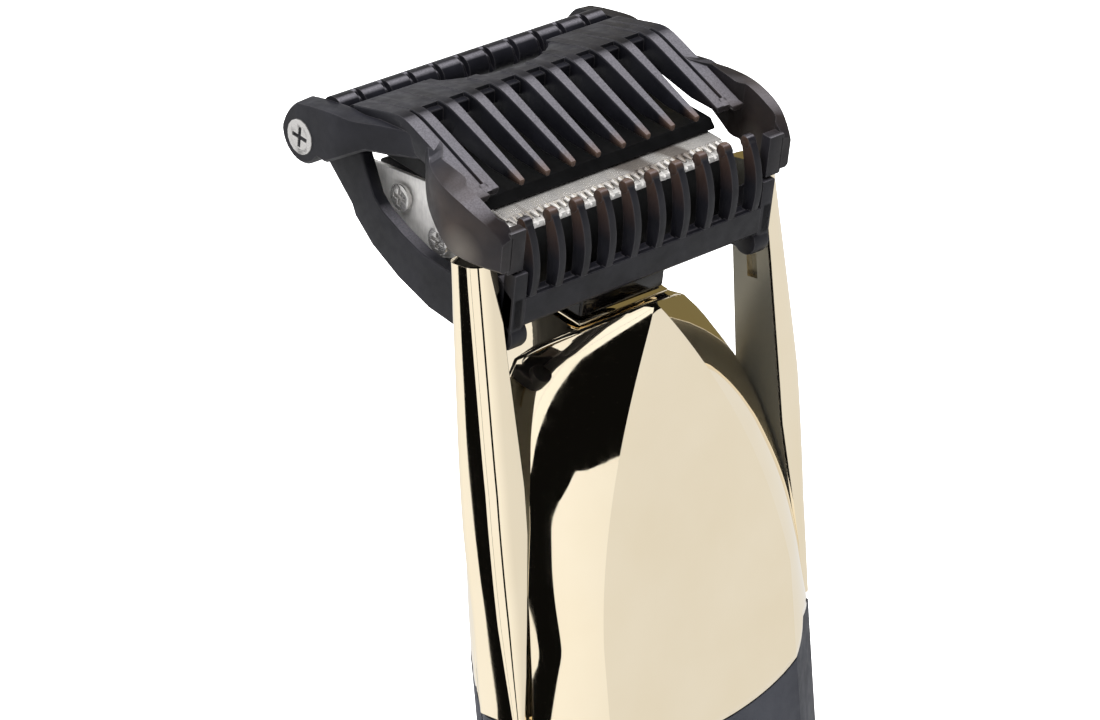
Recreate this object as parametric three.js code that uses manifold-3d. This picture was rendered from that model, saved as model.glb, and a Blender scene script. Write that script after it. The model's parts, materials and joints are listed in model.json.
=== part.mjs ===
// Cordless beard trimmer: a polished metal body with two sliding arms that carry a comb guard
// over a wide blade head. Millimetres, +Z up, -Y is the front, origin at the centre of the base.
import * as THREE from 'three';
import { mergeVertices } from 'three/addons/utils/BufferGeometryUtils.js';
import { ConvexGeometry } from 'three/addons/geometries/ConvexGeometry.js';
import Module from 'manifold-3d';

const wasm = await Module();
wasm.setup();

// ---------- driving dimensions ----------
const GAP = 0.3;              // clearance between neighbouring pieces
const WALL = 1.9;             // casing thickness
const SIDE = 29;              // half width of the handle
const FRONT_Y = -16.5;        // front face of the handle
const REAR_Y = 14;            // rear of the handle
const OVAL_Y = -5;            // widest line of the handle, where its oval back begins
const CROWN = 0.7;            // how far the front face bulges in its middle
const FRONT_HALF = 18.4;      // half width of the front face
const SPLIT_Y = -0.35;        // plane between the front and rear casing halves
const CAP_TOP = 5.7;          // bottom cap height
const TAPER_FROM = 60;        // the grip narrows below this height
const TAPER = 0.13;           // how much it narrows at the base
const GRIP_EDGE = 89.5;       // lowest side point of the polished casing
const TONGUE_DROP = 8.2;      // how far the polished front reaches below that
const APEX = [0, -11.8, 144.7];

// The arms that carry the comb: where their faces lie, as [z, position] from bottom to top.
const ARM = {
  bottom: GRIP_EDGE + GAP,
  top: 157.2,
  round: 1.4,
  inner: [[90, 27.4], [100, 26.5], [118, 24.6], [125, 24.5], [143, 24.9], [157, 25]],
  outer: [[90, 29.1], [100, 29.5], [112, 29.9], [125, 29.9], [140, 29.3], [157, 28.6]],
  front: [[90, -9.4], [105, -9.8], [125, -10], [157, -8.8]],
  rear: [[118, -0.8], [157, -2]],
};
const BRIDGE = { half: 26.2, y: -5.25, z: 95.2, pin: 0.9, pinEnd: 28 };
const HEAD = { y: -11.6, z: 156.85, tilt: THREE.MathUtils.degToRad(14) };
const COMB = { wallInner: 25.3, pitch: 4.7, topTeeth: 8, fins: 10, tooth: 1.5, fin: 1.3 };
const FRAME = { outer: 24.6, inner: 22.5 };      // side walls of the lower comb frame
const BLOCK_HALF = 20.2;                       // half width of the head block
const BLADE = { half: 20.3, pitch: 1.25, tooth: 1.5, thick: 0.6 };
const DIAL = { y: -9, z: 66, r: 9.3, half: 3.5, axle: 1.5, pinionX: 10.3, pitchR: 5, teeth: 20 };
const MOTOR = { y: 1, r: 8.5, bottom: 110, top: 135, orbit: 1.2, pin: 0.9 };
const CELL = { y: -3.2, r: 7, bottom: 10, top: 53 };

// ---------- materials ----------
const paint = (color, roughness, metalness) => () =>
  new THREE.MeshStandardMaterial({ color, roughness, metalness });
const gold = paint(0xe9d9ad, 0.12, 1);
const comb = paint(0x3a3a40, 0.55, 0);
const grip = paint(0x3c3d44, 0.6, 0);
const gloss = paint(0x0a0a0c, 0.15, 0);
const matte = paint(0x17171a, 0.7, 0);
const steel = paint(0xcfd0d2, 0.25, 1);
const satin = paint(0xb9babd, 0.4, 1);
const brass = paint(0xc9a257, 0.3, 1);
const board = paint(0x1d5a34, 0.5, 0);
const cellBlue = paint(0x2c4f8f, 0.4, 0);
const lightLens = paint(0xdfe8f5, 0.2, 0);

// ---------- solids ----------
function solid(geometry) {
  const bare = geometry.index ? geometry.clone() : geometry;
  bare.deleteAttribute('normal');
  bare.deleteAttribute('uv');
  const merged = mergeVertices(bare, 1e-5);
  return new wasm.Manifold(new wasm.Mesh({
    numProp: 3,
    vertProperties: new Float32Array(merged.attributes.position.array),
    triVerts: new Uint32Array(merged.index.array),
  }));
}

function node(name, shape, material) {
  const { vertProperties, triVerts } = shape.getMesh();
  const geometry = new THREE.BufferGeometry();
  geometry.setAttribute('position', new THREE.BufferAttribute(vertProperties, 3));
  geometry.setIndex(new THREE.BufferAttribute(triVerts, 1));
  geometry.computeVertexNormals();
  const mesh = new THREE.Mesh(geometry, material());
  mesh.name = name;
  return mesh;
}

const join = (...parts) => parts.reduce((sum, part) => sum.add(part));
const cut = (base, ...tools) => tools.reduce((rest, tool) => rest.subtract(tool), base);

function outline(points) {
  return new THREE.Shape(points.map(([u, v]) => new THREE.Vector2(u, v)));
}

function extrude(shape, depth, steps = 1) {
  return new THREE.ExtrudeGeometry(shape, { depth, steps, bevelEnabled: false, curveSegments: 8 });
}

const [AX, AY, AZ] = [[1, 0, 0], [0, 1, 0], [0, 0, 1]].map((v) => new THREE.Vector3(...v));

// A side outline, points (y, z), from x0 to x1.
function prismX(points, x0, x1) {
  const geometry = extrude(outline(points), x1 - x0);
  geometry.applyMatrix4(new THREE.Matrix4().makeBasis(AY, AZ, AX).setPosition(x0, 0, 0));
  return solid(geometry);
}

// A front outline, points (x, z), from y0 to y1.
function prismY(points, y0, y1) {
  const geometry = extrude(outline(points), y1 - y0);
  geometry.applyMatrix4(new THREE.Matrix4().makeBasis(AX, AZ, AY.clone().negate()).setPosition(0, y1, 0));
  return solid(geometry);
}

// A plan outline, points (x, y), from z0 to z1.
function prismZ(points, z0, z1) {
  return solid(extrude(outline(points), z1 - z0).translate(0, 0, z0));
}

function box(x0, x1, y0, y1, z0, z1) {
  const geometry = new THREE.BoxGeometry(x1 - x0, y1 - y0, z1 - z0);
  return solid(geometry.translate((x0 + x1) / 2, (y0 + y1) / 2, (z0 + z1) / 2));
}

// A round bar of radius r from one point, of a length along an axis.
function rod(axis, r, [x, y, z], length, sides = 16) {
  const geometry = new THREE.CylinderGeometry(r, r, length, sides).translate(0, length / 2, 0);
  if (axis === 'x') geometry.rotateZ(-Math.PI / 2);
  if (axis === 'z') geometry.rotateX(Math.PI / 2);
  return solid(geometry.translate(x, y, z));
}

const flip = (points) => points.map(([u, v]) => [-u, v]).reverse();
const bothSides = (make) => [['left', -1], ['right', 1]].map(([side, sign]) => make(side, sign));
const span = (a, b, sign) => (sign > 0 ? [a, b] : [-b, -a]);
const steps = (count, pitch) => Array.from({ length: count }, (_, i) => (i - (count - 1) / 2) * pitch);

// The value at t on a line through the stops [t, value].
function along(t, stops) {
  const last = stops.length - 1;
  if (t <= stops[0][0]) return stops[0][1];
  if (t >= stops[last][0]) return stops[last][1];
  const i = stops.findIndex(([at]) => at > t);
  const [[t0, v0], [t1, v1]] = [stops[i - 1], stops[i]];
  return v0 + ((v1 - v0) * (t - t0)) / (t1 - t0);
}

// ---------- handle section and nose ----------
// One closed ring of (x, y): a slightly crowned front, two bevels, straight sides, an oval back.
function section(inset = 0) {
  const right = [];
  for (let i = 1; i <= 4; i += 1) {
    const t = i / 4;
    right.push([FRONT_HALF * t, FRONT_Y - CROWN * (1 - t * t)]);
  }
  right.push([SIDE - 1.5, -10.3], [SIDE - 0.3, -7.4]);
  for (let i = 0; i < 10; i += 1) {
    const angle = (i / 10) * (Math.PI / 2);
    right.push([SIDE * Math.cos(angle), OVAL_Y + (REAR_Y - OVAL_Y) * Math.sin(angle)]);
  }
  const ring = [[0, FRONT_Y - CROWN], ...right, [0, REAR_Y], ...flip(right)];
  const [kx, ky] = [1 - inset / SIDE, 1 - inset / -FRONT_Y];
  return ring.map(([x, y]) => [x * kx, y * ky]);
}

// The arched front face: its half width and depth at a height.
function frontCrease(z) {
  const s = (APEX[2] - z) / 44.7;
  return [FRONT_HALF * s * (1.72 - 0.72 * s), APEX[1] - 0.1 - 4.6 * s ** 0.68];
}

// Shoulder rings above the straight body: [z, side crease x, y, widest x, rear y].
const SHOULDERS = [
  [100, 26.6, -9.7, 28.4, 14],
  [119, 25, -6.3, 26.6, 13.7],
  [128, 22, -4, 23.8, 13],
  [138.5, 16, -0.5, 16, 11.5],
];

function nosePoints(inset = 0) {
  const points = section().flatMap(([x, y]) => [[x, y, GRIP_EDGE], [x, y, 70]]);
  points.push(APEX);
  for (const z of [142.5, 139, 135, 130, 124, 117, 109, 100]) {
    const [x, y] = frontCrease(z);
    points.push([x, y, z], [-x, y, z]);
  }
  for (const [z, x, y, wide, rear] of SHOULDERS) {
    points.push([x, y, z], [-x, y, z]);
    for (const angle of [0, 0.35, 0.7, 1.05, 1.4, 1.57]) {
      const [px, py] = [wide * Math.cos(angle), y / 2 + (rear - y / 2) * Math.sin(angle)];
      points.push([px, py, z], [-px, py, z]);
    }
  }
  for (const x of [-8.6, 8.6]) {
    points.push([x, -5.4, 141.9], [x, 7.4, 145.1]);       // edges of the neck's seat
  }
  const [kx, ky] = [1 - inset / SIDE, 1 - inset / -FRONT_Y];
  return points.map(([x, y, z]) => new THREE.Vector3(x * kx, y * ky, z - inset * (z > 100 ? 1.15 : 0)));
}

const noseSolid = (inset) => solid(new ConvexGeometry(nosePoints(inset)));

function gripSolid(inset, z0, z1) {
  const geometry = extrude(outline(section(inset)), z1 - z0, Math.ceil((z1 - z0) / 14)).translate(0, 0, z0);
  const position = geometry.attributes.position;
  for (let i = 0; i < position.count; i += 1) {
    const below = Math.max(0, (TAPER_FROM - position.getZ(i)) / TAPER_FROM);
    const k = 1 - TAPER * below * below;
    position.setX(i, position.getX(i) * k);
    position.setY(i, position.getY(i) * k);
  }
  return solid(geometry);
}

// Everything that belongs to the polished casing: above the side edge, plus the front tongue.
function polishedZone(drop) {
  const edge = GRIP_EDGE - drop;
  const rear = ARM.rear[0][1] + GAP;
  const above = prismX([[-40, edge], [rear, edge], [8, edge + 13], [40, edge + 13], [40, 170], [-40, 170]], -40, 40);
  const half = 22 + drop;
  const smile = [];
  for (let i = 0; i <= 16; i += 1) {
    const angle = Math.PI * (i / 16);
    smile.push([-half * Math.cos(angle), edge - TONGUE_DROP * Math.sin(angle)]);
  }
  return join(above, prismY([...smile, [half, edge + 3], [-half, edge + 3]], -40, -6));
}

const frontHalf = () => box(-60, 60, -60, SPLIT_Y - GAP / 2, -20, 200);
const rearHalf = () => box(-60, 60, SPLIT_Y + GAP / 2, 60, -20, 200);

// The space that each arm slides in, grown by a margin.
function armSpace(margin) {
  const faces = ARM.inner.map(([z, x]) => [x - margin, z]);
  const front = [[40, GRIP_EDGE - 1], [faces[0][0], GRIP_EDGE - 1], ...faces, [faces.at(-1)[0], 200], [40, 200]];
  const right = prismY(front.reverse(), -30, ARM.rear[0][1] + margin);
  return join(right, right.mirror([1, 0, 0]));
}

// The slots that the ends of the carriage bridge pass through.
function bridgeSlots() {
  return join(...bothSides((_, sign) => {
    const [x0, x1] = span(18, BRIDGE.pinEnd + 1, sign);
    return box(x0, x1, BRIDGE.y - 2, BRIDGE.y + 2, 92, 109);
  }));
}

const tilt = (shape) => shape.rotate([THREE.MathUtils.radToDeg(HEAD.tilt), 0, 0]).translate([0, HEAD.y, HEAD.z]);
const SEAT = -16;             // flat seat of the neck on the nose, in the tilted head frame

function polishedCasing() {
  const aboveSeat = (z) => tilt(box(-30, 30, 1, 60, z, 60));
  const cavity = cut(noseSolid(WALL), aboveSeat(SEAT - WALL), armSpace(WALL));
  const shell = cut(noseSolid(0), cavity, aboveSeat(SEAT)).intersect(polishedZone(0));
  return cut(shell, armSpace(GAP), bridgeSlots(), rod('z', 4.5, [0, MOTOR.y, 138], 12));
}

function casingHalves() {
  const casing = polishedCasing();
  return [
    node('front_cover', casing.intersect(frontHalf()), gold),
    node('rear_cover', casing.intersect(rearHalf()), gold),
  ];
}

const SCREW_SPOTS = [[-9, 16], [9, 16], [-9, 84], [9, 84]];

function gripShells() {
  const shell = cut(gripSolid(0, CAP_TOP + GAP, 104), gripSolid(WALL, -5, 110), polishedZone(GAP));
  const dialSlot = box(-DIAL.half - 0.7, DIAL.half + 0.7, -30, -10, DIAL.z - 8.6, DIAL.z + 8.6);
  const buttonHole = rod('y', 6.3, [0, -30, 40], 20, 32);
  const lightHole = rod('y', 1.6, [0, -30, 27], 20, 16);
  const bosses = SCREW_SPOTS.map(([x, z]) => rod('y', 3.4, [x, 6.5, z], 5));
  const counterbores = SCREW_SPOTS.map(([x, z]) => join(
    rod('y', 2.5, [x, 10.2, z], 10),
    rod('y', 1.5, [x, 4, z], 12),
  ));
  return [
    node('grip_front', cut(shell, dialSlot, buttonHole, lightHole).intersect(frontHalf()), grip),
    node('grip_rear', cut(join(shell.intersect(rearHalf()), ...bosses), ...counterbores), grip),
  ];
}

function coverScrews() {
  return SCREW_SPOTS.map(([x, z], i) => node(`cover_screw_${i + 1}`, cut(
    join(rod('y', 2.2, [x, 10.5, z], 1.2), rod('y', 1.1, [x, 4.7, z], 6)),
    box(x - 1.4, x + 1.4, 11.2, 12, z - 0.3, z + 0.3),
    box(x - 0.3, x + 0.3, 11.2, 12, z - 1.4, z + 1.4),
  ), steel));
}

// ---------- base ----------
function base() {
  const y = -7;               // the charging inlet sits in front of the base's centre
  const cap = cut(gripSolid(0, 0, CAP_TOP), gripSolid(WALL, 2, 12), box(-6, 6, y - 3.2, y + 3.2, -1, 9));
  const socket = cut(box(-5.7, 5.7, y - 2.9, y + 2.9, 0.6, 8.7), box(-4, 4, y - 1.5, y + 1.5, -1, 7));
  return [node('bottom_cap', cap, grip), node('charge_socket', socket, matte)];
}

// ---------- internals ----------
function chassis() {
  const plate = prismY([[-15, 8], [15, 8], [15, 109.5], [-15, 109.5]], 4.4, 6.2);
  const windows = [box(-11, 11, 0, 10, 62, 78), box(-11, 11, 0, 10, 90, 101)];
  const holes = SCREW_SPOTS.map(([x, z]) => rod('y', 1.5, [x, 0, z], 10));
  const shelf = box(-9, 9, -6, 4.6, 108.2, 109.5);
  return node('chassis', join(cut(plate, ...windows, ...holes), shelf), matte);
}

function power() {
  const tube = rod('z', CELL.r, [0, CELL.y, CELL.bottom], CELL.top - CELL.bottom, 32);
  const cell = join(tube, rod('z', 2.5, [0, CELL.y, CELL.top - 0.5], 1.5));
  const contact = (z) => join(
    box(-4, 4, CELL.y - 3, CELL.y + 3, z, z + 0.5),
    box(-2, 2, CELL.y + 2.9, 4.1, z, z + 0.5),
  );
  const plate = box(-9, 9, -12.4, -11.2, 14, 54);
  const parts = join(plate, box(-2, 2, -13.2, -12.3, 38.5, 41.5), box(-3.5, 3.5, -13.1, -12.3, 46, 52));
  return [
    node('battery_cell', cell, cellBlue),
    node('battery_contact_top', contact(CELL.top + 1.3), brass),
    node('battery_contact_bottom', contact(CELL.bottom - 0.8), brass),
    node('circuit_board', join(parts, box(-0.8, 0.8, -13, -12.3, 26.2, 27.8)), board),
  ];
}

function powerSwitch() {
  const bezel = cut(rod('y', 6, [0, -17.7, 40], 2.6, 32), rod('y', 4.9, [0, -20, 40], 8, 32));
  const cap = join(rod('y', 4.5, [0, -18.3, 40], 2.8, 32), rod('y', 1.2, [0, -15.8, 40], 1.1));
  return [
    node('button_bezel', bezel, gold),
    node('power_button', cap, matte),
    node('power_light', rod('y', 1.3, [0, -17, 27], 3, 16), lightLens),
  ];
}

function drive() {
  const { y, r, bottom, top, orbit, pin } = MOTOR;
  const can = cut(rod('z', r, [0, y, bottom], top - bottom, 32), rod('z', 1.5, [0, y, top - 6], 8));
  const mount = cut(box(-8, 8, -5, 7, top + GAP, top + 2), rod('z', 2.2, [0, y, top - 1], 5));
  const eccentric = join(
    rod('z', 1, [0, y, top - 5], 8.5),
    rod('z', 3.2, [0, y, top + 3], 2),
    rod('z', pin, [0, y + orbit, top + 4.5], 9.7),
  );
  return [
    node('motor_can', can, satin),
    node('motor_mount', mount, matte),
    node('drive_eccentric', eccentric, steel),
  ];
}

// ---------- length dial, rack and arms ----------
function gearRing(teeth, rootR, tipR) {
  return Array.from({ length: teeth * 4 }, (_, i) => {
    const angle = ((Math.floor(i / 4) + [-0.27, -0.13, 0.13, 0.27][i % 4]) / teeth) * 2 * Math.PI;
    const r = i % 4 === 1 || i % 4 === 2 ? tipR : rootR;
    return [r * Math.cos(angle), r * Math.sin(angle)];
  });
}

// A toothed wheel about X whose first tooth points to +Y.
function wheelX(ring, x0, x1, bore) {
  const wheel = prismX(ring, x0, x1);
  return cut(wheel, rod('x', bore, [x0 - 1, 0, 0], x1 - x0 + 2)).translate([0, DIAL.y, DIAL.z]);
}

function dial() {
  const { r, half, axle, pinionX, pitchR, teeth } = DIAL;
  const pinion = wheelX(gearRing(teeth, pitchR - 0.8, pitchR + 0.45), pinionX - 1.3, pinionX + 1.3, axle + GAP);
  const bracketEar = (x) => box(x - 0.7, x + 0.7, -11.5, 4.1, DIAL.z - 3.5, DIAL.z + 3.5);
  const bracket = join(bracketEar(-5.5), bracketEar(5.5), box(-6, 6, 2.4, 4.1, DIAL.z - 3.5, DIAL.z + 3.5));
  return [
    node('length_dial', wheelX(gearRing(36, r - 0.5, r), -half, half, axle + GAP), gold),
    node('dial_axle', rod('x', axle, [-7, DIAL.y, DIAL.z], 19.5), steel),
    node('dial_pinion', pinion, brass),
    node('dial_bracket', cut(bracket, rod('x', axle + GAP, [-10, DIAL.y, DIAL.z], 20)), matte),
  ];
}

function rack() {
  const { y, z, pinionX, pitchR, teeth } = DIAL;
  const pitch = (2 * Math.PI * pitchR) / teeth;
  const line = y + pitchR;
  const points = [[line + 3, 50], [line + 3, 92.7], [line + 0.9, 92.7]];
  for (let i = 3; i >= -9; i -= 1) {
    const centre = z + (i + 0.5) * pitch;
    const [wide, thin] = [0.27 * pitch, 0.13 * pitch];
    points.push([line + 0.9, centre + wide], [line - 0.45, centre + thin]);
    points.push([line - 0.45, centre - thin], [line + 0.9, centre - wide]);
  }
  points.push([line + 0.9, 50]);
  return node('carriage_rack', prismX(points.reverse(), pinionX - 1.1, pinionX + 1.1), matte);
}

function bridge() {
  const { half, y, z, pin } = BRIDGE;
  const beam = box(-half, half, y - 1.5, y + 1.5, z - 2.2, z + 2.2);
  return node('carriage_bridge', cut(beam, ...bothSides((_, sign) => {
    const [x0, x1] = span(half - 4, half + 4, sign);
    return rod('x', pin + GAP, [x0, y, z], x1 - x0);
  })), satin);
}

function combArm(side, sign) {
  const { bottom, top, round, inner, outer, front, rear } = ARM;
  const [w, d] = [outer[2][1] - inner[2][1], rear[0][1] - front[0][1]];
  const shape = new THREE.Shape();
  shape.moveTo(0, 0);
  shape.lineTo(w - round, 0);
  shape.quadraticCurveTo(w, 0, w, round);
  shape.lineTo(w, d - round);
  shape.quadraticCurveTo(w, d, w - round, d);
  shape.lineTo(0, d);
  const geometry = extrude(shape, top - bottom, 16).translate(0, 0, bottom);
  const position = geometry.attributes.position;
  for (let i = 0; i < position.count; i += 1) {
    const z = position.getZ(i);
    const [x0, x1] = [along(z, inner), along(z, outer)];
    const [y0, y1] = [along(z, front), along(z, rear)];
    position.setX(i, x0 + ((x1 - x0) * position.getX(i)) / w);
    position.setY(i, y0 + ((y1 - y0) * position.getY(i)) / d);
  }
  const hole = rod('x', BRIDGE.pin + GAP, [20, BRIDGE.y, BRIDGE.z], BRIDGE.pinEnd + GAP - 20);
  const arm = cut(solid(geometry), hole);
  return node(`comb_arm_${side}`, sign > 0 ? arm : arm.mirror([1, 0, 0]), gold);
}

function bridgePins() {
  return bothSides((side, sign) => {
    const start = BRIDGE.half - 3.6;
    const pin = rod('x', BRIDGE.pin, [start, BRIDGE.y, BRIDGE.z], BRIDGE.pinEnd - start);
    return node(`bridge_pin_${side}`, sign > 0 ? pin : pin.mirror([1, 0, 0]), steel);
  });
}

// ---------- comb guard, in the tilted head frame: y runs back and z up from its front lower corner ----------
// Plan view of the outer edge of one side arm, (x, y) from front to back.
const COMB_PLAN = [
  [27.9, -0.1], [28.7, 3.4], [29, 6.3], [29, 10.1], [28.1, 13.5], [26.6, 16.3], [24.6, 19.1],
  [24.9, 22.2], [26.2, 26.8], [27.6, 31.4], [28, 34.3], [27.9, 46],
];
// Upper edge of the side arm and the hump of the top plate, (y, z).
const COMB_TOP = [[0, 5.2], [3.4, 6.3], [6.3, 7.3], [10.1, 8.3], [13.5, 9.3], [16.3, 10.1], [19.1, 10.7],
  [22.2, 10.8], [26.8, 10.2], [31.4, 9.3], [34.3, 9.1], [39.6, 8], [43.8, 6.8]];
const BOSS = { y: 41, z: 2.3, r: 4 };
const ROOT = [23.6, 12.3];     // crest of the top plate, where the top teeth begin
const TIP = [8.2, 7.2];        // tip of a top tooth

function sideArm(sign) {
  const bossRing = [];
  for (let i = 0; i <= 8; i += 1) {
    const angle = 0.35 - i * 0.3;
    bossRing.push([BOSS.y + BOSS.r * Math.cos(angle), BOSS.z + BOSS.r * Math.sin(angle)]);
  }
  const lower = [[35.6, 0.8], [28.9, 5.2], [24.9, 5.9], [18.9, 7.6], [15.2, 4], [11.8, 2.2], [8.4, 0], [0, 0]];
  const wall = prismX([...COMB_TOP, ...bossRing, ...lower].reverse(), COMB.wallInner, 30);
  const roof = COMB_TOP.slice(2, 11);
  const under = roof.map(([y, z]) => [y, z - 2.4]).reverse();
  const shelf = prismX([...roof, ...under].reverse(), 20.4, COMB.wallInner + 0.5);
  const rail = prismX([[26, 5.9], [34.3, 4.6], [34.3, 9.1], [26, 10]], 24, COMB.wallInner + 0.5);
  const plan = prismZ([[20, -1], ...COMB_PLAN, [20, 46]], -6, 20);
  const arm = cut(join(wall, shelf, rail).intersect(plan), rod('x', 1.5, [20, BOSS.y, BOSS.z], 12),
    rod('x', 2.9, [27, BOSS.y, BOSS.z], 3));
  return sign > 0 ? arm : arm.mirror([1, 0, 0]);
}

function topTooth(x) {
  const profile = [[26, 8.6], [26, 11.4], ROOT, TIP, [TIP[0], TIP[1] - 0.9], [14, 6.2], [20, 7.2]];
  return prismX(profile.reverse(), x - COMB.tooth / 2, x + COMB.tooth / 2);
}

function combTop() {
  const plate = prismX([[22.4, 11.4], ROOT, [34, 9.5], [34, 7.3], [26, 9.2], [22.4, 9.2]].reverse(), -24.5, 24.5);
  const scoop = solid(new THREE.CylinderGeometry(14, 14, 10, 32).rotateX(Math.PI / 2).translate(0, 43.6, 8));
  const strips = bothSides((_, sign) => {
    const [x0, x1] = span(20.4, 22.4, sign);
    return prismX([[24, 9], [24, 12], ROOT, [16, 10.2], [8, 8], [8, 6.8], [16, 8.2]].reverse(), x0, x1);
  });
  const teeth = steps(COMB.topTeeth, COMB.pitch).map(topTooth);
  const body = join(cut(plate, scoop), ...strips, ...teeth, sideArm(1), sideArm(-1));
  return node('comb_top', body, comb);
}

function combRearBar() {
  const bar = rod('x', 2.25, [-COMB.wallInner + GAP, 37.8, 6.8], 2 * (COMB.wallInner - GAP));
  const notch = (x) => box(x - 0.5, x + 0.5, 36, 40, 8.3, 10);
  return node('comb_rear_bar', cut(bar, ...steps(COMB.topTeeth + 2, COMB.pitch).map(notch)), comb);
}

function combLowerFrame() {
  const wall = [[-0.6, -4.5], [-0.6, -11.4], [1.2, -13.2], [10, -14.2], [16, -14], [22.5, -12.4], [28.4, -10],
    [32.4, -7.2], [33.2, -5.8], [38.6, -1.6], [40, -0.6], [43.5, 1.4], [43.2, 3.6], [38.5, 4.3], [32, 2.9],
    [28.9, -2.4], [27, -3.8], [22.5, -5.4], [18.5, -6.4], [12, -6.6], [6, -5.4], [3, -2.5]];
  const walls = bothSides((_, sign) => {
    const [x0, x1] = span(FRAME.inner, FRAME.outer, sign);
    return cut(prismX(wall, x0, x1), rod('x', 1.5, [x0 - 1, BOSS.y, BOSS.z], 4));
  });
  const ends = bothSides((_, sign) => {
    const [x0, x1] = span(21.4, FRAME.outer, sign);
    return box(x0, x1, -0.6, 1.8, -9.6, 2.4);
  });
  const bar = box(-22, 22, -0.6, 1.8, -9.6, -5);
  const finProfile = [[-0.6, -8], [-1.1, -3], [-0.9, 0], [0.2, 3], [1.9, 5.4], [3, 5.8], [3.3, 5], [2.4, 2.6], [1.7, 0],
    [1.6, -8]];
  const fins = steps(COMB.fins, COMB.pitch - 0.03).map((x) => prismX(finProfile, x - COMB.fin / 2, x + COMB.fin / 2));
  return node('comb_lower_frame', join(bar, ...walls, ...ends, ...fins), comb);
}

function phillips(headR, shaftR, from, to, [y, z], sign) {
  const head = rod('x', headR, [to - 0.7, y, z], 0.7);
  const shaft = rod('x', shaftR, [from, y, z], to - from - 0.5);
  const slots = [box(to - 0.5, to + 1, y - 0.3, y + 0.3, z - headR * 0.6, z + headR * 0.6),
    box(to - 0.5, to + 1, y - headR * 0.6, y + headR * 0.6, z - 0.3, z + 0.3)];
  const screw = cut(join(head, shaft), ...slots);
  return sign > 0 ? screw : screw.mirror([1, 0, 0]);
}

const combScrews = () => bothSides((side, sign) =>
  node(`comb_screw_${side}`, phillips(2.6, 1.2, 22.8, 28.2, [BOSS.y, BOSS.z], sign), steel));

// ---------- cutting head, in the same tilted frame ----------
const PLATE_SCREWS = [['front', [17.9, -5.1]], ['rear', [26.2, -2.2]]];

function headBlock() {
  const profile = [[5.2, 1.4], [5.2, -8.2], [6.4, -9.4], [19, -9.4], [26, -7.4], [31, -3.5], [33, 0.2], [31, 1.4]];
  const block = prismX(profile, -BLOCK_HALF, BLOCK_HALF);
  const driveSlot = box(-4.6, 4.6, 12.8, 15.1, -12, 3);
  const holes = PLATE_SCREWS.flatMap(([, [y, z]]) => bothSides((_, sign) => {
    const [x0, x1] = span(16, 22, sign);
    return rod('x', 1.1 + GAP, [x0, y, z], x1 - x0);
  }));
  return node('head_block', cut(block, driveSlot, ...holes), matte);
}

function sidePlates() {
  const plate = [[34.8, -0.2], [21.6, 2], [14, -1.6], [15.2, -6.8], [18, -8], [24, -8.2], [31, -6]];
  return bothSides((side, sign) => {
    const [x0, x1] = span(BLOCK_HALF + GAP, BLOCK_HALF + 1, sign);
    const holes = PLATE_SCREWS.map(([, [y, z]]) => rod('x', 1.1 + GAP, [x0 - 1, y, z], 4));
    return node(`side_plate_${side}`, cut(prismX(plate, x0, x1), ...holes), satin);
  });
}

const plateScrews = () => bothSides((side, sign) => PLATE_SCREWS.map(([place, spot]) =>
  node(`plate_screw_${side}_${place}`, phillips(2, 1.1, 16.8, BLOCK_HALF + 2, spot, sign), steel))).flat();

// A blade outline: a plate with a row of pointed teeth along its front edge.
function bladeOutline(half, backY, tipY, pitch) {
  const count = Math.floor((2 * half) / pitch);
  const points = [[half, backY], [-half, backY], [-half, tipY + BLADE.tooth]];
  for (const x of steps(count, pitch)) {
    points.push([x - pitch * 0.4, tipY + BLADE.tooth], [x - pitch * 0.12, tipY]);
    points.push([x + pitch * 0.12, tipY], [x + pitch * 0.4, tipY + BLADE.tooth]);
  }
  points.push([half, tipY + BLADE.tooth]);
  return points;
}

function blades() {
  const driveSlot = box(-4.6, 4.6, 12.8, 15.1, 0, 5);
  const fixed = cut(prismZ(bladeOutline(BLADE.half + 0.9, 16, 4.6, BLADE.pitch + 0.15), 1.7, 2.4), driveSlot);
  const moving = prismZ(bladeOutline(BLADE.half, 15.4, 5.1, BLADE.pitch), 2.7, 2.7 + BLADE.thick);
  const forkPost = box(-3.3, 3.3, 13, 14.9, 0, 6);
  const ring = cut(box(-5.2, 5.2, 5.4, 14.6, -13.2, -11.6), box(-3.7, 3.7, 6.4, 13, -14, -11));
  const fork = join(ring, box(-3, 3, 13.3, 14.6, -13.2, 4.2));
  return [
    node('fixed_blade', fixed, satin),
    node('moving_blade', cut(moving, forkPost), steel),
    node('drive_fork', fork, matte),
  ];
}

function bladeCover() {
  const profile = [[9, 3.6], [10.2, 4.9], [27, 4.9], [31, 3.2], [31, 2.3], [16.3, 2.3], [16.3, 3.6]];
  const pocket = box(-4.8, 4.8, 12.6, 15.2, 3, 4.5);
  return node('blade_cover', cut(prismX(profile.reverse(), -21.4, 21.4), pocket), matte);
}

function neck() {
  const tube = (x, y0, y1, z0, z1) => cut(
    box(-x, x, y0, y1, z0, z1),
    box(-6.7, 6.7, 4.2, 15, z0 - 1, z1 + 1),
  );
  return [
    node('neck_collar', tube(8, 3, 16.2, -14.9, -9.7), gloss),
    node('collar_trim', tube(8.5, 2.5, 16.7, -15.7, -15.2), gold),
  ];
}

// ---------- assembly ----------
const model = new THREE.Group();
const tilted = new THREE.Group();
tilted.position.set(0, HEAD.y, HEAD.z);
tilted.rotation.x = HEAD.tilt;

tilted.add(combTop(), combRearBar(), combLowerFrame(), ...combScrews());
tilted.add(headBlock(), ...sidePlates(), ...plateScrews(), ...blades(), bladeCover(), ...neck());
model.add(tilted, ...casingHalves(), ...gripShells(), ...coverScrews(), ...base());
model.add(chassis(), ...power(), ...powerSwitch(), ...drive());
model.add(...dial(), rack(), bridge(), ...bridgePins(), ...bothSides(combArm));

export default model;
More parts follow.
